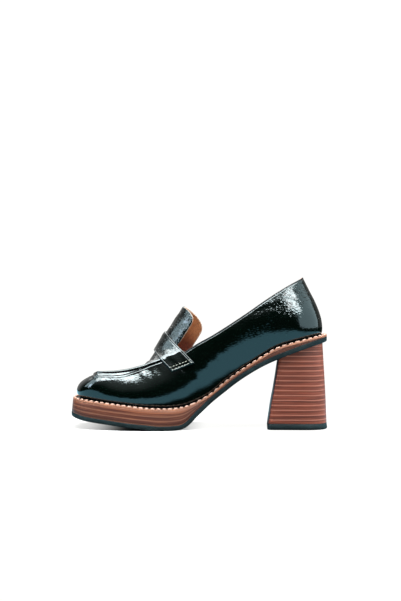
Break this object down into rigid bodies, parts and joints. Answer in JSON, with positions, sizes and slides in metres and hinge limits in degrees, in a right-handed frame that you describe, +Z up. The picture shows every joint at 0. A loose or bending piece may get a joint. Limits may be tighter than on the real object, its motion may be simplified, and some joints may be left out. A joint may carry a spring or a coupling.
{
  "type": "loafer pump",
  "caption": "Square-toed platform loafer on a high flared block heel, with a saddle strap over the vamp, a standing tongue and a stitched welt.",
  "frame": {"origin": "middle of the heel's walking face, on the floor", "axes": "+X from toe to heel, +Y to the outer side of the foot, +Z up"},
  "size_m": [0.2473, 0.0962, 0.1451],
  "materials": {
    "patent_leather": "black crinkled patent leather, high gloss",
    "lining_leather": "tan lining leather, satin",
    "welt_leather": "natural welt leather with cream stitching",
    "stacked_wood": "stacked layers, reddish brown, satin lacquer",
    "outsole_rubber": "black rubber, matt"
  },
  "bodies": {
    "root": {"outsole": "outsole_rubber", "platform": "stacked_wood", "welt": "welt_leather", "heel_block": "stacked_wood", "top_piece": "outsole_rubber", "insole": "lining_leather", "upper": "patent_leather", "tongue": "patent_leather", "saddle_strap": "patent_leather"}
  },
  "joints": []
}
